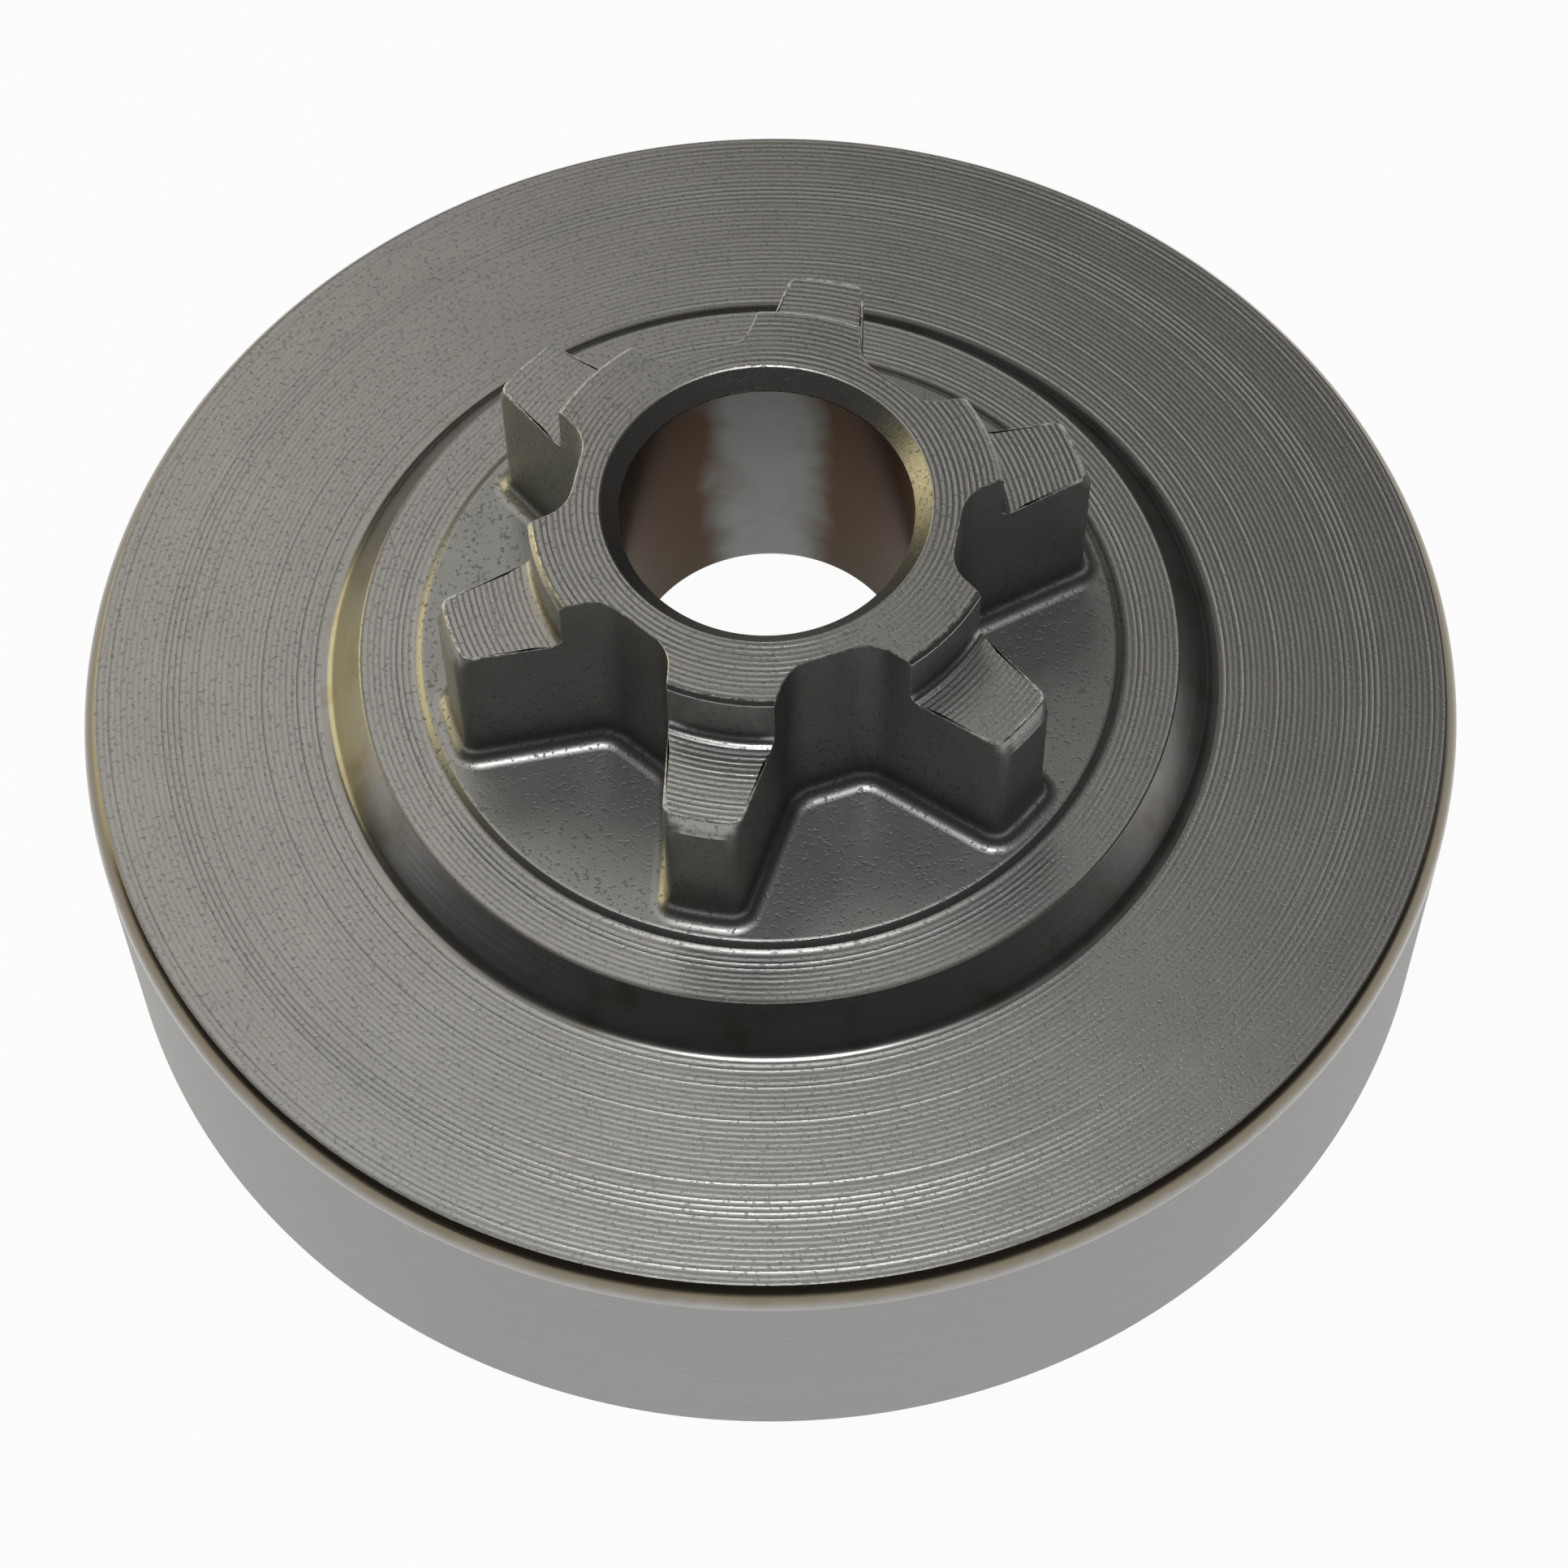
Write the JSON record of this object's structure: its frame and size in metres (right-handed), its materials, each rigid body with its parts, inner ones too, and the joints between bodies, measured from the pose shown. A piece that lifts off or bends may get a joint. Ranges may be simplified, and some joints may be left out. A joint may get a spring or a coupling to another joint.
{
  "type": "chainsaw clutch drum",
  "caption": "Turned steel cup with a spur chain sprocket, stepped collar and chamfered through bore on its closed face.",
  "frame": {"origin": "on the bore axis, in the plane of the cup's turned outer face", "axes": "+Z along the bore axis, away from the cup's mouth and towards the sprocket; +X through the middle of a tooth"},
  "size_m": [0.064, 0.064, 0.0276],
  "materials": {
    "steel": "turned on the cup, the boss ring, the tooth faces and the collar, fine sandy skin on the pad and in the gullets"
  },
  "bodies": {
    "root": {"clutch_drum": "steel"}
  },
  "joints": []
}
